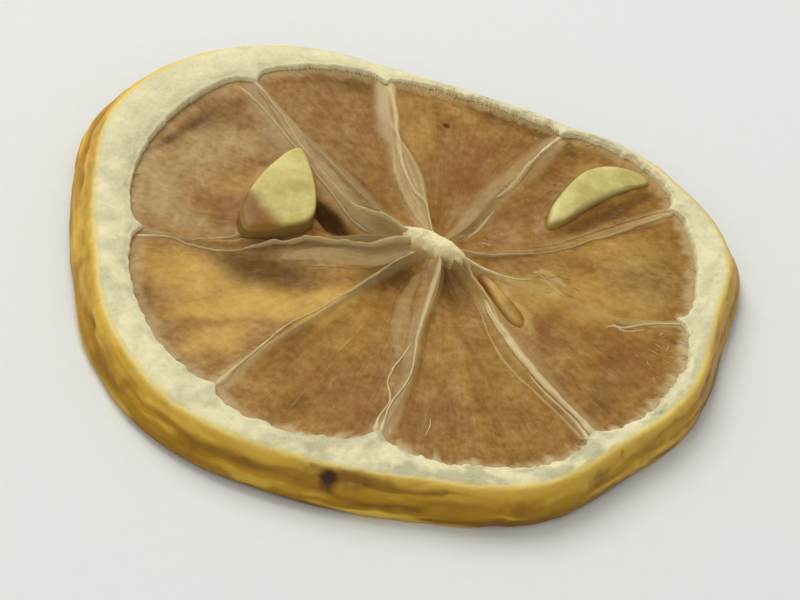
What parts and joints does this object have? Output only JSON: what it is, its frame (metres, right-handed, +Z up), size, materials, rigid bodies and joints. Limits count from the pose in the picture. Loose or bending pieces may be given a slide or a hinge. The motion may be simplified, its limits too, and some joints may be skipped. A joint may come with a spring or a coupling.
{
  "type": "dried lemon slice",
  "caption": "Round dried slice of lemon with peel, white pith, shrunken flesh between membranes and seeds left in it, lying flat.",
  "frame": {"origin": "middle of the slice in plan, on the surface it lies on", "axes": "+Z up, out of the cut face that shows; +X along the widest way across, to the right of the picture; +Y away from the viewer"},
  "size_m": [0.0506, 0.048, 0.0041],
  "materials": {
    "slice": "dried peel, spongy pith and satin flesh",
    "seed_left": "satin",
    "seed_right": "satin",
    "seed_low": "satin"
  },
  "bodies": {
    "root": {"slice": "slice", "seed_left": "seed_left", "seed_right": "seed_right", "seed_low": "seed_low"}
  },
  "joints": []
}
